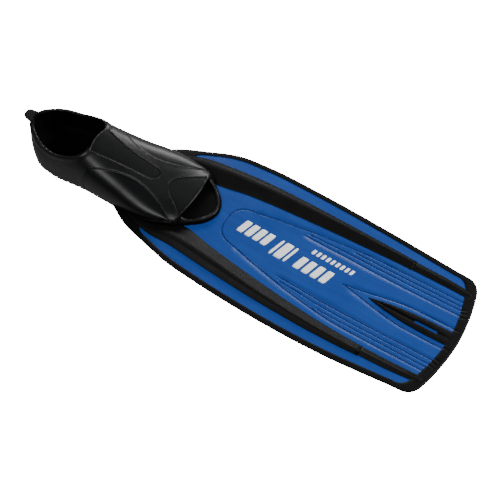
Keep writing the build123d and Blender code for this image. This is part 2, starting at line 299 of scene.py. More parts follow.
finishes = {
    # colours are sRGB levels, scale is that of the marks, bump is in mm
    "pocketRubber": {
        "color": (10, 11, 12), "worn": (19, 20, 21), "amount": 0.5, "scale": 32, "rough": (0.36, 0.5),
        "grain": 1500, "bump": 0.03, "coat": 0.06, "coatRough": 0.35, "shine": 0.32,
    },
    # the lining inside the pocket: rougher rubber, its colour darkened as painted shade
    "linerRubberPaintedShade": {
        "color": (4, 4, 4), "worn": (7, 7, 7), "amount": 0.4, "scale": 30, "rough": (0.75, 0.85),
        "grain": 1200, "bump": 0.06, "coat": 0.0, "coatRough": 0.3, "shine": 0.08,
    },
    "panelRubber": {
        "color": (7, 8, 8), "worn": (15, 16, 16), "amount": 0.45, "scale": 45, "rough": (0.54, 0.68),
        "grain": 1100, "bump": 0.1, "coat": 0.0, "coatRough": 0.3, "shine": 0.14,
    },
    "glossRubber": {
        "color": (9, 10, 11), "worn": (16, 17, 18), "amount": 0.4, "scale": 28, "rough": (0.32, 0.42),
        "grain": 1900, "bump": 0.012, "coat": 0.08, "coatRough": 0.3, "shine": 0.26,
    },
    "railRubber": {
        "color": (7, 7, 7), "worn": (13, 13, 12), "amount": 0.5, "scale": 50, "rough": (0.46, 0.6),
        "grain": 1400, "bump": 0.035, "coat": 0.0, "coatRough": 0.3, "shine": 0.13,
    },
    "outsoleRubber": {
        "color": (12, 12, 12), "worn": (28, 27, 26), "amount": 0.6, "scale": 60, "rough": (0.6, 0.78),
        "grain": 1000, "bump": 0.1, "coat": 0.0, "coatRough": 0.3, "shine": 0.25,
    },
    "whitePrint": {
        "color": (254, 254, 254), "worn": (246, 248, 250), "amount": 0.35, "scale": 180,
        "rough": (0.42, 0.55), "grain": 2600, "bump": 0.008, "coat": 0.0, "coatRough": 0.3, "shine": 0.4,
    },
}


def makeFinish(name, plan):
    material = bpy.data.materials.new(name)
    material.use_nodes = True
    tree = material.node_tree
    shader = tree.nodes["Principled BSDF"]
    marks = addNode(tree, "ShaderNodeGroup", node_tree=marksGroup)
    marks.inputs["Color"].default_value = fromSrgb(*plan["color"])
    marks.inputs["Worn Color"].default_value = fromSrgb(*plan["worn"])
    marks.inputs["Amount"].default_value = plan["amount"]
    marks.inputs["Scale"].default_value = plan["scale"]
    marks.inputs["Roughness"].default_value, marks.inputs["Worn Roughness"].default_value = plan["rough"]
    grain = addNode(tree, "ShaderNodeGroup", node_tree=grainGroup)
    grain.inputs["Scale"].default_value = plan["grain"]
    bump = addNode(
        tree, "ShaderNodeBump",
        {"Height": grain.outputs["Height"], "Strength": 1.0, "Distance": plan["bump"] * mm},
    )
    tree.links.new(marks.outputs["Color"], shader.inputs["Base Color"])
    tree.links.new(marks.outputs["Roughness"], shader.inputs["Roughness"])
    tree.links.new(bump.outputs["Normal"], shader.inputs["Normal"])
    shader.inputs["Specular IOR Level"].default_value = plan["shine"]
    shader.inputs["Coat Weight"].default_value = plan["coat"]
    shader.inputs["Coat Roughness"].default_value = plan["coatRough"]
    return material


blueGrain = {"amount": 0.45, "scale": 14.0, "grain": 900.0, "bump": 0.012}
bluePlan = {
    "color": (17, 62, 138), "light": (23, 72, 152), "deep": (12, 52, 120),
    "rough": (0.36, 0.48), "shine": 0.35, **blueGrain,
}

# the same plastic down in the engraved lines, duller there, and darker as painted shade in the lines
lineShadePlan = {
    "color": (9, 44, 104), "light": (12, 52, 118), "deep": (7, 36, 92),
    "rough": (0.62, 0.72), "shine": 0.12, **blueGrain,
}


def makeBlue(name, plan):
    material = bpy.data.materials.new(name)
    material.use_nodes = True
    tree = material.node_tree
    shader = tree.nodes["Principled BSDF"]
    flow = addNode(tree, "ShaderNodeGroup", node_tree=flowGroup)
    marks = addNode(tree, "ShaderNodeGroup", node_tree=marksGroup)
    marks.inputs["Color"].default_value = fromSrgb(*plan["color"])
    marks.inputs["Worn Color"].default_value = fromSrgb(*plan["light"])
    marks.inputs["Amount"].default_value = plan["amount"]
    marks.inputs["Scale"].default_value = plan["scale"]
    marks.inputs["Roughness"].default_value, marks.inputs["Worn Roughness"].default_value = plan["rough"]
    spread = addNode(
        tree, "ShaderNodeMapRange",
        {"Value": flow.outputs["Mask"], "From Min": 0.35, "From Max": 0.75, "To Max": 0.5},
    )
    tint = addNode(tree, "ShaderNodeMix", {"Factor": spread.outputs["Result"]}, data_type="RGBA")
    tree.links.new(marks.outputs["Color"], tint.inputs[6])
    tint.inputs[7].default_value = fromSrgb(*plan["deep"])
    grain = addNode(tree, "ShaderNodeGroup", node_tree=grainGroup)
    grain.inputs["Scale"].default_value = plan["grain"]
    bump = addNode(
        tree, "ShaderNodeBump",
        {"Height": grain.outputs["Height"], "Strength": 1.0, "Distance": plan["bump"] * mm},
    )
    tree.links.new(tint.outputs[2], shader.inputs["Base Color"])
    tree.links.new(marks.outputs["Roughness"], shader.inputs["Roughness"])
    tree.links.new(bump.outputs["Normal"], shader.inputs["Normal"])
    shader.inputs["Specular IOR Level"].default_value = plan["shine"]
    return material


finish = {name: makeFinish(name, plan) for name, plan in finishes.items()}
finish["bladePlastic"] = makeBlue("bladePlastic", bluePlan)
finish["lineBluePaintedShade"] = makeBlue("lineBluePaintedShade", lineShadePlan)
print("finishes ready")


# lines that several pieces follow, in mm: x runs from the heel to the tip

bladeTop = smoothLine(
    [
        (-160, 25.0), (-136, 28.0), (-95, 32.0), (-45, 36.3), (0, 33.2), (80, 22.9), (180, 11.4),
        (280, 5.8), (329, 4.1),
    ]
)
outerEdge = smoothLine(
    [(-150, 51.0), (-125, 65.5), (-80, 81.0), (-35, 93.2), (0, 96.8), (80, 99.7), (180, 97.8), (300, 88.6)]
)
bladeThickness = 3.0


# blade: one plate with engraved lines, thin and blue

bladePlan = {
    "rear": -138.0,
    "tuck": 1.4,  # how far it reaches into the rubber round it
    "grooveDepth": 0.6,
    "grooveHalf": 0.6,
    "grooveSoft": 0.85,
    "edgeTrim": 7.2,
    "lineOffsets": (-1.35, -0.9, -0.45, 0, 0.45, 0.9, 1.35),  # columns of points beside each engraved line
    "between": 5,  # steps from one line's columns to the next
    "outside": 9,  # and from the last line to the edge
    "lineShadeShare": 0.4,  # faces deeper than this share of a line take the line's finish, with painted shade
    "arch": (-12, 34),  # the front of the engraved outline, which needs closer rows
    "archStep": 0.9,
    "lastRows": 290,  # from here to the tip the rows are closer again
    "tipStart": 270,  # from here the rows curve to follow the tip
    "tipEnd": 317,
    "tipTuck": 3.0,  # how far it reaches into the tip band
}
grooves = {
    "outline": [
        (-4, 0), (-3.8, 6), (-2.4, 13), (1, 19.3), (7, 24.3), (16, 27.4), (28, 29.6), (55, 35.5),
        (81, 40.4), (107, 45), (138, 48.9), (165, 52), (189, 53.4), (240, 53.6), (322, 53.6),
    ],
    "first": [(93, 34.5), (126, 34.9), (157, 35.6), (219, 35.2), (322, 35.2)],
    "second": [(98, 38.8), (107, 39.4), (139, 41), (158, 41.6), (220, 42), (322, 42)],
    "third": [(158, 47.4), (220, 47.6), (322, 47.6)],
    "delta": [(168, 0.4), (192, 4.3), (217, 9.3), (241, 13.6), (266, 15.3), (322, 15.5)],
}
columnLines = [
    [
        (-138, 5), (120, 5), (160, 2.4), (176, 2.2), (192, 4.3), (217, 9.3), (241, 13.6), (266, 15.3),
        (322, 15.5),
    ],
    [
        (-138, 15), (-4, 16.2), (28, 19.8), (60, 27), (93, 34.5), (126, 34.9), (157, 35.6), (219, 35.2),
        (322, 35.2),
    ],
    [
        (-138, 18.2), (-4, 19.8), (28, 23.2), (60, 30.4), (93, 38.2), (107, 39.4), (139, 41), (158, 41.6),
        (220, 42), (322, 42),
    ],
    [
        (-138, 21.4), (-4, 23.4), (28, 26.5), (60, 33.6), (93, 41), (107, 42.4), (138, 45.8), (158, 47.4),
        (220, 47.6), (322, 47.6),
    ],
    [
        (-138, 25), (-4, 27), (28, 29.6), (55, 35.5), (81, 40.4), (107, 45), (138, 48.9), (165, 52),
        (189, 53.4), (240, 53.6), (322, 53.6),
    ],
]
tipInner = smoothLine(
    [
        (0, 314.1), (17, 313.2), (36.5, 310.5), (51, 307), (65.3, 303), (72.5, 299.8), (77, 296.5),
        (80.8, 292.5), (90, 284),
    ]
)


def grooveDepth(x, y):
    depth = np.zeros(np.shape(x))
    half, soft = bladePlan["grooveHalf"], bladePlan["grooveSoft"]
    for points in grooves.values():
        path = smoothPath(points, 8)
        away = distanceTo(path, x, np.abs(y))
        depth = np.maximum(depth, 1 - fade((away - half) / soft))
    return depth * bladePlan["grooveDepth"]


def bladeColumns(x):
    # how far out each column of points lies at a place along the blade, for the left half
    edge = float(outerEdge(x)) - bladePlan["edgeTrim"] + bladePlan["tuck"]
    centres = [float(smoothLine(line, steady=True)(x)) for line in columnLines]
    columns = [0.0]
    last = 0.0
    offsets = bladePlan["lineOffsets"]
    between, outside = bladePlan["between"], bladePlan["outside"]
    for centre in centres:
        gap = centre + offsets[0] - last
        columns += [last + gap * k / between for k in range(1, between)]
        columns += [centre + offset for offset in offsets]
        last = columns[-1]
    columns += [last + (edge - last) * k / outside for k in range(1, outside + 1)]
    return np.array(columns)


def bladeFace(x, y, side):
    # height of the blade's upper (side 1) or lower (side -1) face
    base = bladeTop(x) - (0 if side > 0 else bladeThickness)
    return base - side * grooveDepth(x, y)


def buildBlade():
    archStart, archEnd = bladePlan["arch"]
    tipStart, tipEnd = bladePlan["tipStart"], bladePlan["tipEnd"]
    lastRows = bladePlan["lastRows"]
    rowPlaces = np.concatenate([
        np.linspace(bladePlan["rear"], archStart, 30, endpoint=False),
        np.arange(archStart, archEnd, bladePlan["archStep"]),
        np.linspace(archEnd, lastRows, 64, endpoint=False),
        np.linspace(lastRows, tipEnd, 9),
    ])
    rows = []
    for x in rowPlaces:
        half = bladeColumns(x)
        y = np.concatenate([-half[:0:-1], half])
        stretch = np.clip((x - tipStart) / (tipEnd - tipStart), 0, 1)
        along = x + stretch * (tipInner(np.abs(y)) + bladePlan["tipTuck"] - tipEnd)
        upper = np.stack([along, y, bladeFace(along, y, 1)], axis=1)
        lower = np.stack([along, y, bladeFace(along, y, -1)], axis=1)
        rows.append(np.concatenate([upper, lower[::-1], upper[:1]]))
    piece = shapedGrid("bladePlate", np.array(rows), smoothAngle=60)
    piece.data.materials.append(finish["bladePlastic"])
    piece.data.materials.append(finish["lineBluePaintedShade"])
    centres = np.array([face.center for face in piece.data.polygons]) / mm
    deep = bladePlan["lineShadeShare"] * bladePlan["grooveDepth"]
    # faces down in the lines take the darker blue, painted shade in the grooves
    engraved = grooveDepth(centres[:, 0], centres[:, 1]) > deep
    piece.data.polygons.foreach_set("material_index", engraved.astype(np.int32))
    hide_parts("blade_root", "blade")
    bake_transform(piece)
    return piece


blade = buildBlade()
print("blade", len(blade.data.polygons))


# side rails: rubber ribs through the blade, tall at the foot, stepped down near the tip

railPlan = {
    # x, inner foot, inner and outer edge of the crest, outer foot, height above, depth below
    "long": [
        (-138, 42, 45, 48, 50.5, 0.8, 0.8), (-120, 44, 50, 54.5, 57, 1.6, 1.6),
        (-100, 44, 54.5, 60.5, 63.5, 2.2, 2.2), (-80, 42, 56, 63.5, 68, 3.2, 3.2),
        (-45, 37.4, 57, 63, 70.5, 5.4, 5), (0, 44.8, 60.5, 66, 74.6, 5.8, 5.4),
        (60, 52, 66, 70.5, 77.8, 5.6, 5), (130, 58.2, 70, 73, 79, 5, 4.4),
        (200, 61.8, 70.8, 73, 77.8, 4.2, 3.4), (230, 62.3, 70.3, 72.6, 76.4, 3.7, 2.9),
    ],
    "end": [
        (228, 62.8, 68.6, 71.4, 75.6, 2.2, 2), (280, 62.3, 67.4, 70, 73.6, 1.9, 1.6),
        (311, 61.3, 65.4, 67.6, 70.6, 1.6, 1.2),
    ],
    "kerb": 0.7,  # upright step along both feet
    "step": 5.0,
    "endShrink": (1, 0.93, 0.86),
}


def railRing(x, sizes):
    footIn, crestIn, crestOut, footOut, height, depth = sizes
    ring = []
    for side, rise in ((1, height), (-1, depth)):
        face = float(bladeTop(x)) - (0 if side > 0 else bladeThickness)
        kerb = min(railPlan["kerb"], rise * 0.45)
        soft = min(0.55, rise * 0.3)
        half = [
            (footIn, -0.6), (footIn, kerb * 0.6), (footIn + 0.35, kerb),
            (footIn + 0.45 * (crestIn - footIn), kerb + 0.34 * (rise - kerb)),
            (crestIn - 0.14 * (crestIn - footIn), rise - soft * 1.3), (crestIn - 0.2, rise - soft * 0.25),
            (crestIn + 0.6, rise),
            (crestOut - 0.6, rise), (crestOut + 0.15, rise - soft * 0.35),
            (crestOut + 0.2 * (footOut - crestOut), rise - soft * 1.4),
            (footOut - 0.4, kerb), (footOut, kerb * 0.5), (footOut, -0.6),
        ]
        points = [(y, face + side * h) for y, h in half]
        ring += points if side > 0 else points[::-1]
    ring.append(ring[0])
    return [(x, y, z) for y, z in ring]


def buildRail(name, side, nodes):
    parts = []
    for key in ("long", "end"):
        sizes = railPlan[key]
        lines = [smoothLine([(row[0], row[k]) for row in sizes]) for k in range(1, 7)]
        x0, x1 = sizes[0][0], sizes[-1][0]
        places = np.linspace(x0, x1, int((x1 - x0) / railPlan["step"]) + 1)
        rows = [railRing(x, [float(line(x)) for line in lines]) for x in places]
        # ends drawn in a little, so they read as rounded
        for end, shift in ((0, -0.5), (-1, 0.5)):
            row = np.array(rows[end])
            centre = row.mean(axis=0)
            small = centre + (row - centre) * np.array(railPlan["endShrink"])
            small[:, 0] = row[0, 0] + shift
            rows.insert(0 if end == 0 else len(rows), [tuple(p) for p in small])
        place = np.array(rows)
        parts.append(shapedGrid(name, place if side > 0 else mirrored(place), smoothAngle=50))
    piece = joined(name, *parts)
    piece.data.materials.append(finish["railRubber"])
    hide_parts(*nodes)
    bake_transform(piece)
    return piece


buildRail("leftSideRail", 1, ["left_rail_root", "left_rail"])
buildRail("rightSideRail", -1, ["right_rail_root", "right_rail"])
print("rails")


# edge trim and tip band: one rubber frame moulded round the blade

framePlan = {
    "corner": [
        # outer x, y, inner x, y
        (290, 89.6, 286.5, 83.0), (300, 88.6, 292.5, 80.6), (307.2, 85.2, 296.8, 76.6),
        (312.3, 79.6, 300, 71.6), (315.8, 72.0, 303, 64.6), (319.6, 57.5, 306.8, 51),
        (323.0, 40.0, 310.4, 36.2), (325.6, 19.0, 313.2, 17), (326.6, 0.0, 314.1, 0.0),
    ],
    "side": (-150, -90, 280),  # rear end, end of the closer rows at the root, start of the corner
    "tip": (290, 62),  # the tip band lies in front of this and within this half-width
    "proud": 0.9,
    "notches": (15.5, 35.2, 42.0, 47.6),  # shallow slots where the blade's lines run out
    "notchDepth": 0.55,
    "notchHalf": 0.9,
    "notchSoft": 0.8,
    "rootEnd": -88,
    "rootLength": 34,
    "rootInner": 44,  # the root's inner edge
}


def buildFrame():
    rear, rootFront, front = framePlan["side"]
    sideX = np.concatenate([
        np.linspace(rear, rootFront, 20, endpoint=False),
        np.linspace(rootFront, front, 75),
    ])
    # the trim widens into the pocket's side
    root = fade((framePlan["rootEnd"] - sideX) / framePlan["rootLength"])
    spare = np.maximum(outerEdge(sideX) - framePlan["rootInner"] - bladePlan["edgeTrim"], 0)
    width = bladePlan["edgeTrim"] + root * spare
    side = np.stack([sideX, outerEdge(sideX), sideX, outerEdge(sideX) - width], axis=1)
    corner = smoothPath([tuple(side[-1])] + framePlan["corner"], 16)
    half = np.concatenate([side, corner[1:]])
    whole = np.concatenate([half, (half * np.array([1, -1, 1, -1]))[-2::-1]])
    tipRear, tipHalf = framePlan["tip"]
    proud = framePlan["proud"]
    rows = []
    for ox, oy, ix, iy in whole:
        span = math.hypot(ox - ix, oy - iy)
        notch = 0.0
        if ox > tipRear and abs(oy) < tipHalf:
            gap = min(abs(abs(oy) - place) for place in framePlan["notches"])
            notch = 1 - fade((gap - framePlan["notchHalf"]) / framePlan["notchSoft"])
        low = proud - framePlan["notchDepth"] * notch
        section = [
            (0.0, -0.4), (0.0, min(low, proud * 0.55)), (0.5, low), (span * 0.3, low), (span * 0.52, low),
            (span * 0.64, proud), (span - 1.9, proud), (span - 1.0, proud * 0.8),
            (span - 0.35, 0.1), (span, -1.5), (span - 0.35, -3.1),
            (span - 1.0, -bladeThickness - proud * 0.8), (span - 1.9, -bladeThickness - proud),
            (span * 0.5, -bladeThickness - proud), (0.5, -bladeThickness - proud),
            (0.0, -bladeThickness - proud * 0.5), (0.0, -bladeThickness + 0.4),
        ]
        row = []
        for away, rise in section:
            share = max(away, 0) / span
            x = ix + (ox - ix) * share
            y = iy + (oy - iy) * share
            row.append((x, y, float(bladeTop(x)) + rise))
        row.append(row[0])
        rows.append(row)
    piece = shapedGrid("edgeFrame", np.array(rows), smoothAngle=50)
    piece.data.materials.append(finish["railRubber"])
    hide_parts("left_trim_root", "right_trim_root", "left_edge_trim", "right_edge_trim", "tip_trim")
    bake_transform(piece)
    return piece


edgeFrame = buildFrame()
print("edge frame", len(edgeFrame.data.polygons))


# split rib at the tip: two rubber arms with a channel between them and a window down to the blade

ribPlan = {
    "rows": ((203, 262, 30), (263, 316, 107)),  # from, to, how many: closer round the window
    "edge": [(203, 0.3), (208, 1.4), (214, 2.7), (232, 5.9), (256, 8.6), (284, 9.9), (316, 10.1)],
    "height": [(203, 0.3), (208, 1.2), (218, 2.2), (240, 2.5), (290, 2.3), (308, 1.7), (316, 1.1)],
    "depth": 1.0,
    "channel": [
        (203, 0.05), (220, 0.4), (228, 1.5), (266.5, 1.6), (267.5, 2.3), (298, 2.3), (299, 1.6), (309, 1.6),
        (316, 1.2),
    ],
    "channelFloor": [
        (203, 1.0), (222, 1.0), (266.5, 0.9), (267.5, -0.5), (298, -0.5), (299, 0.9), (316, 0.9),
    ],
}


def buildRib():
    edge, height = smoothLine(ribPlan["edge"]), smoothLine(ribPlan["height"])
    channelX, channelY = zip(*ribPlan["channel"])
    floorX, floorZ = zip(*ribPlan["channelFloor"])
    places = np.concatenate([np.linspace(*span) for span in ribPlan["rows"]])
    rows = []
    for x in places:
        wide, rise = float(edge(x)), float(height(x))
        gap = min(float(np.interp(x, channelX, channelY)), wide * 0.5)
        floor = min(float(np.interp(x, floorX, floorZ)), rise - 0.02)
        upper = [
            (wide, -0.5), (wide, rise * 0.3), (wide - 0.12 * wide, rise * 0.72),
            (wide - 0.24 * wide, rise * 0.95), (wide - 0.4 * wide, rise),
            (gap + 0.3 * (wide - gap) * 0.6, rise), (gap + 0.12, rise - 0.2), (gap, rise - 0.5),
            (gap * 0.98, floor + 0.05), (gap * 0.7, floor),
        ]
        lower = [
            (wide, -bladeThickness + 0.5), (wide, -bladeThickness - 0.5),
            (wide * 0.9, -bladeThickness - ribPlan["depth"]),
            (wide * 0.4, -bladeThickness - ribPlan["depth"]),
        ]
        ring = upper + [(-y, z) for y, z in upper[::-1]] + [(-y, z) for y, z in lower] + lower[::-1]
        ring.append(ring[0])
        rows.append([(x, y, float(bladeTop(x)) + z) for y, z in ring])
    piece = shapedGrid("tipRib", np.array(rows), smoothAngle=50)
    piece.data.materials.append(finish["railRubber"])
    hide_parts("centre_rib")
    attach(piece, "blade")
    return piece


buildRib()
print("tip rib")


# print on the blade: plain slanted bars, no lettering

printPlan = {
    "lift": 0.07,
    "thickness": 0.12,
    "slant": 0.28,
    "corner": 0.8,
    # x start, width along x, y low, y high
    "bars": [
        (14, 8.6, -7, 13), (25.4, 8.6, -7, 13), (36.8, 8.6, -7, 13), (48.2, 8.6, -7, 13),
        (65, 3.6, -13, 13), (71.5, 11, -13, 13), (85.4, 3.6, -13, 13),
        (100, 9, -13, 7), (112.4, 9, -13, 7), (124.8, 9, -13, 7), (137.2, 9, -13, 7),
    ],
    "dashes": [(111 + 6.8 * k, 4.1, 16, 23.5) for k in range(9)],
}


def printBar(x, width, low, high):
    # a flat patch with clipped corners, laid on the blade
    across = np.linspace(low, high, 9)
    corner = printPlan["corner"]
    pull = np.interp(across, [low, low + corner, high - corner, high], [corner, 0, 0, corner])
    rows = []
    for share in np.linspace(0, 1, 5):
        along = x + pull + (width - 2 * pull) * share + printPlan["slant"] * (across - low)
        rows.append(np.stack([along, across, bladeTop(along) + printPlan["lift"]], axis=1))
    return shapedGrid("printBar", np.array(rows), closed=False)


def buildPrint():
    bars = [printBar(*sizes) for sizes in printPlan["bars"] + printPlan["dashes"]]
    piece = joined("printBars", *bars)
    outwards = -1 if piece.data.polygons[0].normal.z > 0 else 1
    applyModifier(piece, "SOLIDIFY", thickness=printPlan["thickness"] * mm, offset=outwards)
    piece.data.materials.append(finish["whitePrint"])
    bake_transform(piece)
    return piece


buildPrint()
print("print")


# foot pocket: the skin its panels and creases lie on

stations = [
    # x, half-width, underside, height of the widest line, top
    (-313.0, 6.5, 24.0, 36.0, 60.0), (-310.5, 14.5, 14.0, 28.0, 64.0),
    (-305.5, 23.0, 8.5, 20.0, 65.5), (-297.0, 32.0, 5.0, 15.5, 67.5),
    (-285.0, 39.0, 3.1, 13.5, 70.5), (-262.0, 42.5, 3.2, 14.5, 78.0),
    (-238.0, 43.4, 4.6, 18.0, 88.0), (-215.0, 43.6, 6.9, 21.0, 86.0),
    (-199.0, 45.0, 8.9, 22.5, 80.6), (-180.0, 47.0, 11.2, 24.5, 73.6),
    (-156.0, 49.6, 14.8, 27.5, 67.2), (-125.0, 53.4, 20.2, 31.5, 62.0),
    (-105.0, 54.0, 23.9, 34.5, 59.0), (-85.0, 52.0, 27.3, 37.0, 55.8),
    (-65.0, 47.4, 30.4, 39.5, 54.4), (-46.0, 41.0, 32.8, 41.0, 54.0),
]
stationLines = [smoothLine([(row[0], row[k]) for row in stations]) for k in range(1, 5)]
upperPower, lowerPower = 2.6, 3.6
leafScale = 45.0  # mm of girth for each radian round the section


def skinPoint(x, turn):
    # a place on the pocket's skin: turn is 0 on the left side, a quarter turn on top
    wide, under, middle, top = (line(x) for line in stationLines)
    c, s = np.cos(turn), np.sin(turn)
    power = 2 / np.where(s > 0, upperPower, lowerPower)
    y = wide * np.sign(c) * np.abs(c) ** power
    z = middle + np.where(s > 0, top - middle, middle - under) * np.sign(s) * np.abs(s) ** power
    return np.stack([x, y, z], axis=-1)


def skinNormal(x, turn):
    dx = skinPoint(x + 0.5, turn) - skinPoint(x - 0.5, turn)
    dt = skinPoint(x, turn + 0.01) - skinPoint(x, turn - 0.01)
    normal = np.cross(dt, dx)
    normal /= np.linalg.norm(normal, axis=-1, keepdims=True) + 1e-12
    outward = skinPoint(x, turn) * np.array([0, 1, 1]) - np.stack(
        [x * 0, x * 0, stationLines[2](x)], axis=-1,
    )
    flip = np.sign(np.sum(normal * outward, axis=-1, keepdims=True))
    return normal * np.where(flip == 0, 1, flip)


def turnForY(x, y):
    share = np.clip(np.abs(y) / stationLines[0](x), 0, 1) ** (upperPower / 2)
    turn = np.arccos(np.clip(share, 0, 1))
    return np.where(y < 0, math.pi - turn, turn)


def skinPlace(points):
    # how far round the skin each point lies, and how near to it (1 is on it)
    x = points[:, 0]
    wide, under, middle, top = (line(x) for line in stationLines)
    tall = np.where(points[:, 2] > middle, top - middle, middle - under)
    power = np.where(points[:, 2] > middle, upperPower, lowerPower) / 2
    c = (np.abs(points[:, 1]) / wide) ** power
    s = (np.abs(points[:, 2] - middle) / tall) ** power
    turn = np.arctan2(s * np.sign(points[:, 2] - middle), c * np.sign(points[:, 1] + 1e-9))
    return turn, np.hypot(c, s)


# panel outlines: two edges that meet at both ends, in plan for the top panels,
# along and round the skin for the side ones

outlinePlan = {
    "instep": {
        "rear": -201,
        "front": -105.3,
        "edge": [(-201, 20.6), (-188, 18), (-170, 14.7), (-145, 11.4), (-125, 10.2)],
        "nose": (-115, 9.7),  # centre and radius of the round front
        "rearCorner": 3,
    },
    "toe": {
        "half": 34,
        "rear": [(0, -90), (3, -89.3), (9, -86), (16.5, -78), (26, -64), (34.5, -53.4)],
        "front": -49.6,
        "bow": 0.0035,  # how quickly the front edge curves back
    },
    "leaf": {
        "front": -60,
        "crease": [
            (-193, 36.5), (-181, 33.0), (-167, 27.8), (-154, 23.6), (-141, 21.2), (-128, 20.5),
            (-113, 22.4), (-100, 26.2), (-86, 31.6), (-73, 38.2), (-60, 45.2),
        ],
        "welt": [(-206, -7.0), (-150, -8.0), (-110, -5.0), (-85, 3.0), (-70, 9.0), (-60, 14.0)],
        "closing": (-90, 20),  # the welt stays under a straight line from here to the crease's end
    },
}


def instepOutline():
    plan = outlinePlan["instep"]
    rear, front = plan["rear"], plan["front"]
    noseX, radius = plan["nose"]
    edgeX, edgeY = plan["edge"][-1]
    t = (1 - np.cos(np.linspace(0, math.pi, 61))) / 2
    x = rear + t * (front - rear)
    edge = smoothLine(plan["edge"])(x)
    nose = np.sqrt(np.clip(1 - ((x - noseX) / radius) ** 2, 0, 1)) * radius
    runIn = np.interp(x, [edgeX, noseX], [edgeY, radius], left=np.inf)
    y = np.where(x > noseX, nose, np.minimum(edge, runIn))
    y = y * np.clip((x - rear) / plan["rearCorner"], 0, 1) ** 0.5
    return np.stack([x, y], 1), np.stack([x, -y], 1)


def toeOutline():
    plan = outlinePlan["toe"]
    y = np.linspace(-plan["half"], plan["half"], 61)
    rear = smoothLine(plan["rear"])(np.abs(y))
    front = plan["front"] - plan["bow"] * y * y
    return np.stack([rear, y], 1), np.stack([np.maximum(front, rear), y], 1)


def leafOutline():
    # the crease above, the welt below, and a short upright edge at the rear
    plan = outlinePlan["leaf"]
    front = plan["front"]
    t = (1 - np.cos(np.linspace(0, math.pi, 66))) / 2
    topX, lowX = (plan[key][0][0] + t * (front - plan[key][0][0]) for key in ("crease", "welt"))
    top = turnForY(topX, smoothLine(plan["crease"])(topX)) * leafScale
    closeX, closeLow = plan["closing"]
    low = smoothLine(plan["welt"])(lowX)
    low = np.minimum(low, np.interp(lowX, [closeX, front], [closeLow, float(top[-1])]))
    low[-1] = top[-1]
    rear = np.array([topX[0], top[0]]), np.array([lowX[0], low[0]])
    middle = (rear[0] + rear[1]) / 2
    steps = np.linspace(0, 1, 9)[:-1, None]
    first = np.concatenate([middle + (rear[0] - middle) * steps, np.stack([topX, top], 1)])
    second = np.concatenate([middle + (rear[1] - middle) * steps, np.stack([lowX, low], 1)])
    return first, second


def ringPatch(name, sides, toTurn, rim, dome, materials, rimRings=6, flipSide=False):
    # nested rings from outside an outline to its middle line, laid on the skin
    first, second = sides
    loop = np.concatenate([first, second[-2:0:-1]])
    ahead, behind = np.roll(loop, -1, axis=0), np.roll(loop, 1, axis=0)
    along = ahead - behind
    outward = np.stack([along[:, 1], -along[:, 0]], 1)
    outward /= np.linalg.norm(outward, axis=1, keepdims=True) + 1e-9
    area = np.sum(loop[:, 0] * ahead[:, 1] - ahead[:, 0] * loop[:, 1])
    outward *= math.copysign(1, area)
    middle = (first + second) / 2
    count = len(middle)
    inner = np.clip(np.arange(count), 2, count - 3)
    spine = np.concatenate([middle[inner], middle[inner][-2:0:-1]])
    rows = [(loop + outward * away, rise) for away, rise in rim]
    start = rows[-1][0]
    base = rim[-1][1]
    for share in dome["shares"]:
        rows.append(
            (
                start * (1 - share) + spine * share,
                base + dome["rise"] * math.sin(share * math.pi / 2) ** dome["power"],
            )
        )
    place = []
    for flat, rise in rows:
        turn = toTurn(flat)
        points = skinPoint(flat[:, 0], turn) + skinNormal(flat[:, 0], turn) * rise
        if flipSide:
            points = points * np.array([1, -1, 1])
        place.append(np.concatenate([points, points[:1]]))
    piece = shapedGrid(name, np.array(place), closed=False, smoothAngle=60)
    for material in materials:
        piece.data.materials.append(material)
    if len(materials) > 1:
        for face in piece.data.polygons:
            face.material_index = 1 if face.index < rimRings * len(loop) else 0
    return piece


leafSides = leafOutline()
panelOutlines = {"instep": instepOutline(), "toe": toeOutline(), "leaf": leafSides}


sinkPlan = {
    "skin": 0.93,  # points nearer the skin than this share belong to the outer face
    "margin": 3,
    "depth": 1.9,
    "reach": 0.9,  # the hollow starts this far outside a panel's outline
    "soft": 1.4,
}


def sinkShell(points):
    # presses the shell in under the panels, so only they show there
    turn, near = skinPlace(points)
    outside = near > sinkPlan["skin"]
    margin = sinkPlan["margin"]
    shift = np.zeros(len(points))
    plan = points[:, :2]
    around = np.stack([points[:, 0], np.where(points[:, 1] > 0, turn, math.pi - turn) * leafScale], 1)
    for key, (first, second) in panelOutlines.items():
        loop = np.concatenate([first, second[-2:0:-1]])
        flat = around if key == "leaf" else plan
        upper = outside & (points[:, 2] > stationLines[2](points[:, 0]) - margin)
        low, high = loop.min(0) - margin, loop.max(0) + margin
        chosen = np.where(upper & (flat > low).all(1) & (flat < high).all(1))[0]
        x, y = flat[chosen, 0], flat[chosen, 1]
        away = distanceTo(np.vstack([loop, loop[:1]]), x, y)
        away = np.where(insideOf(loop, x, y), -away, away)
        hollow = sinkPlan["depth"] * fade((sinkPlan["reach"] - away) / sinkPlan["soft"])
        shift[chosen] = np.minimum(shift[chosen], -hollow)
    return near, shift


# toe ring: a lip that runs from the pocket's sides round in front of the toes

ringPlan = {
    # outer x, y, inner x, y, height at the inner edge, height at the outer edge
    "half": [
        (-17.6, 0, -21.4, 0, 41.6, 41.2), (-18.5, 6, -22.3, 5, 41.6, 41.2),
        (-21.6, 13.2, -25.2, 11.5, 41.7, 41.2), (-27.2, 20.9, -30.6, 18.2, 42.0, 41.3),
        (-35.6, 28.6, -38.2, 25.2, 42.8, 41.6), (-43.8, 35.2, -44.6, 29.6, 44.6, 42.4),
        (-51.5, 40.4, -49.6, 31.6, 48.2, 43.8), (-59.5, 44.0, -55.0, 32.6, 50.6, 45.2),
        (-68.0, 46.6, -62.0, 33.6, 51.4, 46.0),
    ],
    "drop": 1.6,  # the lip leans out this far down its outer face
    "steps": 8,
}


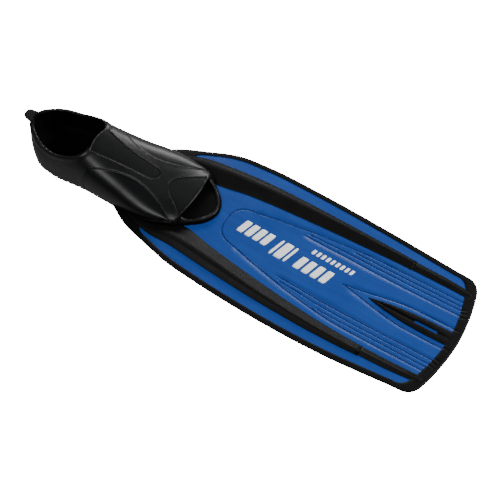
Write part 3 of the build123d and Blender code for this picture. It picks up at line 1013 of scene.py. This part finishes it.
def buildToeRing():
    half = smoothPath(ringPlan["half"], ringPlan["steps"])
    whole = np.concatenate([half[::-1], half[1:] * np.array([1, -1, 1, -1, 1, 1])])
    rows = []
    for ox, oy, ix, iy, top, edge in whole:
        out = np.array([ox - ix, oy - iy])
        span = np.linalg.norm(out)
        out /= span
        low = float(bladeTop(ox)) - 1.0
        section = [
            (0.0, low), (0.0, top - 1.6), (0.3, top - 0.6), (span * 0.25, top),
            (span * 0.55, (top + edge) / 2 + 0.2), (span * 0.85, edge), (span, edge - 1.5),
            (span + 0.35, (edge + low) / 2), (span + ringPlan["drop"] * 0.6, low + 2.4),
            (span + ringPlan["drop"], low + 0.9), (span + ringPlan["drop"] + 0.6, low),
        ]
        row = [(ix + out[0] * away, iy + out[1] * away, z) for away, z in section]
        rows.append(row + row[:1])
    return shapedGrid("toeRing", np.array(rows))


# the shell itself: the CAD's pocket, rim, tab and panels with the toe ring, remeshed as one

shellPlan = {
    "voxel": 1.35,
    "smoothing": 7,
    "liner": 0.94,  # faces further in than this share of the way to the skin are the lining: rougher, and darker as painted shade inside the pocket
    "lipRear": -50,  # but not the toe ring's lip, in front of here
    "lipLow": 40.6,  # and above here
}


def buildShell():
    nodes = [
        "foot_pocket", "ankle_rim", "heel_tab", "instep_panel", "toe_panel", "left_side_panel",
        "right_side_panel",
    ]
    copies = []
    for node in nodes:
        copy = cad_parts[node].copy()
        copy.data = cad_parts[node].data.copy()
        copy.parent = None
        for key in list(copy.keys()):
            if key.startswith("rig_"):
                del copy[key]
        bpy.context.scene.collection.objects.link(copy)
        copies.append(copy)
    piece = joined("pocketShell", *copies, buildToeRing())
    piece.data.materials.clear()
    bpy.ops.object.mode_set(mode="EDIT")
    bpy.ops.mesh.select_all(action="SELECT")
    bpy.ops.mesh.remove_doubles(threshold=0.00001)
    bpy.ops.object.mode_set(mode="OBJECT")
    applyModifier(piece, "REMESH", mode="VOXEL", voxel_size=shellPlan["voxel"] * mm, use_smooth_shade=True)
    applyModifier(piece, "SMOOTH", factor=0.5, iterations=shellPlan["smoothing"])
    points = np.empty(len(piece.data.vertices) * 3)
    normals = np.empty(len(points))
    piece.data.vertices.foreach_get("co", points)
    piece.data.vertices.foreach_get("normal", normals)
    points, normals = points.reshape(-1, 3) / mm, normals.reshape(-1, 3)
    near, shift = sinkShell(points)
    points += normals * shift[:, None]
    piece.data.vertices.foreach_set("co", (points * mm).ravel())
    for name in ("pocketRubber", "linerRubberPaintedShade"):
        piece.data.materials.append(finish[name])
    corner = np.array([list(face.vertices)[:3] for face in piece.data.polygons])
    middle = points[corner].mean(axis=1)
    lip = (middle[:, 0] > shellPlan["lipRear"]) & (middle[:, 2] > shellPlan["lipLow"])
    # the lining faces take the darker finish, painted shade inside the pocket
    linerShadeMask = (near[corner].mean(axis=1) < shellPlan["liner"]) & ~lip
    piece.data.polygons.foreach_set("material_index", linerShadeMask.astype(np.int32))
    pickOnly(piece)
    bpy.ops.object.shade_smooth()
    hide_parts("foot_pocket", "ankle_rim", "heel_tab", "toe_ring")
    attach(piece, "foot")
    return piece


shell = buildShell()
print("pocket shell", len(shell.data.polygons))


# panels: two recessed ones on top and a domed leaf on each side
# a rim lists how far out it runs and how high, from the outside in

panelThickness = 0.6
recessRim = [
    (1.7, -1.3), (1.25, -0.05), (0.8, 0.32), (0.3, 0.38), (-0.1, 0.12), (-0.5, -0.32), (-1.1, -0.42),
]
recessFloor = {"shares": (0.12, 0.3, 0.5, 0.7, 0.85, 1.0), "rise": 0.15, "power": 1.0}
leafRim = [(1.8, -1.4), (1.3, -0.05), (0.85, 0.45), (0.3, 0.55), (-0.15, 0.2), (-0.6, -0.45), (-1.2, -0.5)]
leafDome = {"shares": (0.06, 0.14, 0.25, 0.38, 0.52, 0.68, 0.84, 1.0), "rise": 1.3, "power": 0.9}


def placePanel(piece, node):
    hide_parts(node)
    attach(piece, "foot")


def planTurn(flat):
    return turnForY(flat[:, 0], flat[:, 1])


def leafTurn(flat):
    return flat[:, 1] / leafScale


def thicken(piece):
    pickOnly(piece)
    bpy.ops.object.mode_set(mode="EDIT")
    bpy.ops.mesh.select_all(action="SELECT")
    bpy.ops.mesh.normals_make_consistent(inside=False)
    bpy.ops.object.mode_set(mode="OBJECT")
    up = sum(face.normal.z for face in piece.data.polygons)
    if up < 0:
        bpy.ops.object.mode_set(mode="EDIT")
        bpy.ops.mesh.flip_normals()
        bpy.ops.object.mode_set(mode="OBJECT")
    applyModifier(piece, "SOLIDIFY", thickness=panelThickness * mm, offset=-1)


instep = ringPatch(
    "instepPanel", panelOutlines["instep"], planTurn, recessRim, recessFloor,
    [finish["panelRubber"], finish["glossRubber"]], rimRings=4,
)
thicken(instep)
placePanel(instep, "instep_panel")
toe = ringPatch(
    "toePanel", panelOutlines["toe"], planTurn, recessRim, recessFloor,
    [finish["panelRubber"], finish["glossRubber"]], rimRings=4,
)
thicken(toe)
placePanel(toe, "toe_panel")
for name, node, flip in (
    ("leftSidePanel", "left_side_panel", False), ("rightSidePanel", "right_side_panel", True),
):
    panel = ringPatch(name, leafSides, leafTurn, leafRim, leafDome, [finish["glossRubber"]], flipSide=flip)
    thicken(panel)
    placePanel(panel, node)
print("panels")


# outsole: the CAD shape, with its own rubber

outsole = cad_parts["outsole"]
outsole.data.materials.clear()
outsole.data.materials.append(finish["outsoleRubber"])


# floor, light and camera

stagePlan = {
    "floorHeight": -0.165,
    "floorSize": 8.0,
    "floorGrey": 0.3,
    "camera": {
        "place": (0.5688, -0.6635, 1.3043), "back": (0.3443, -0.4215, 0.8389),
        "right": (0.8427, 0.5327, -0.0781), "lens": 86.85,
    },
    "world": (1.0, 1.0, 1.0),
    "worldStrength": 0.08,
    "glow": 24.0,  # how bright floor and world show to the camera, without lighting the fin more
    # name: place, aim, size, watts
    "lights": {
        "farSoftbox": ((-0.62, 1.5, 0.78), (0.0, 0.0, 0.03), (1.5, 0.5), 26),
        "nearKey": ((-0.5, -1.2, 1.5), (0.0, 0.0, 0.03), (1.0, 0.6), 15),
        "farFront": ((1.5, 0.7, 1.3), (0.1, 0.0, 0.0), (1.0, 1.0), 44),
    },
}


def buildStage():
    bpy.ops.object.select_all(action="DESELECT")
    bpy.ops.mesh.primitive_plane_add(size=stagePlan["floorSize"], location=(0, 0, stagePlan["floorHeight"]))
    floor = bpy.context.object
    floor.name = "floor"
    material = bpy.data.materials.new("floorPaper")
    material.use_nodes = True
    shader = material.node_tree.nodes["Principled BSDF"]
    grey = stagePlan["floorGrey"]
    shader.inputs["Base Color"].default_value = (grey, grey, grey, 1)
    shader.inputs["Roughness"].default_value = 0.9
    shader.inputs["Emission Color"].default_value = (1, 1, 1, 1)
    rays = addNode(material.node_tree, "ShaderNodeLightPath")
    glow = addNode(
        material.node_tree, "ShaderNodeMath", {0: rays.outputs["Is Camera Ray"], 1: stagePlan["glow"]},
        operation="MULTIPLY",
    )
    material.node_tree.links.new(glow.outputs[0], shader.inputs["Emission Strength"])
    floor.data.materials.append(material)
    for name, (place, aim, size, watts) in stagePlan["lights"].items():
        bpy.ops.object.light_add(type="AREA", location=place)
        light = bpy.context.object
        light.name = name
        light.data.shape = "RECTANGLE"
        light.data.size, light.data.size_y = size
        light.data.energy = watts
        light.rotation_euler = (Vector(aim) - Vector(place)).to_track_quat("-Z", "Y").to_euler()
    world = bpy.context.scene.world or bpy.data.worlds.new("studio")
    bpy.context.scene.world = world
    world.use_nodes = True
    sky = world.node_tree.nodes["Background"]
    sky.inputs["Color"].default_value = (*stagePlan["world"], 1)
    skyRays = addNode(world.node_tree, "ShaderNodeLightPath")
    skyGlow = addNode(
        world.node_tree, "ShaderNodeMath",
        {0: skyRays.outputs["Is Camera Ray"], 1: stagePlan["glow"], 2: stagePlan["worldStrength"]},
        operation="MULTIPLY_ADD",
    )
    world.node_tree.links.new(skyGlow.outputs[0], sky.inputs["Strength"])
    view = stagePlan["camera"]
    back = Vector(view["back"]).normalized()
    right = Vector(view["right"])
    right = (right - right.dot(back) * back).normalized()
    up = back.cross(right)
    bpy.ops.object.camera_add()
    camera = bpy.context.object
    camera.matrix_world = Matrix((right, up, back)).transposed().to_4x4()
    camera.location = view["place"]
    camera.data.lens = view["lens"]
    camera.data.sensor_width = 36
    camera.data.clip_start = 0.01
    bpy.context.scene.camera = camera


buildStage()
print("stage")
